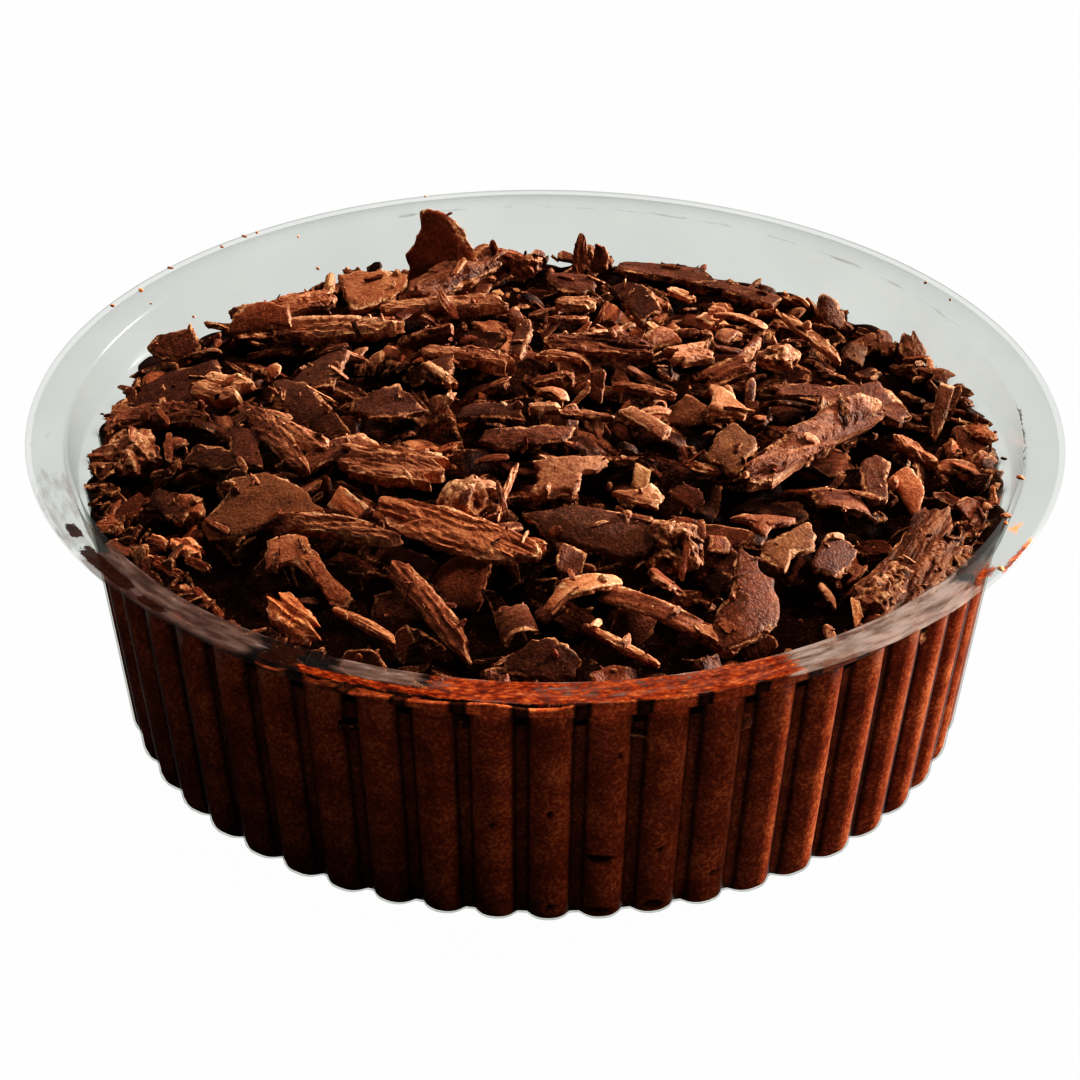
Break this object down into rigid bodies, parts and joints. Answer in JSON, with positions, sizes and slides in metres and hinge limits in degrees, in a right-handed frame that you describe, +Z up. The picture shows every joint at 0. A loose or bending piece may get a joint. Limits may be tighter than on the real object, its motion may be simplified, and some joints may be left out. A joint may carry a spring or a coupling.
{
  "type": "chocolate mousse",
  "caption": "Single tub of chocolate mousse: a low round clear fluted plastic cup with a flat rim, filled with mousse and heaped with rough chocolate flakes.",
  "frame": {"origin": "middle of the cup's flat underside", "axes": "+Z up through the middle of the cup, -Y towards the front, +X to the right"},
  "size_m": [0.12, 0.12, 0.0427],
  "materials": {
    "clear_plastic": "thin clear thermoformed plastic, glossy, lightly smeared with chocolate at the rim",
    "mousse": "aerated dark chocolate mousse with fine bubbles, pressed against the cup",
    "chocolate": "broken chocolate, satin flat faces and rough paler edges"
  },
  "bodies": {
    "root": {"cup": "clear_plastic", "mousse": "mousse", "chocolate_flakes": "chocolate"}
  },
  "joints": []
}
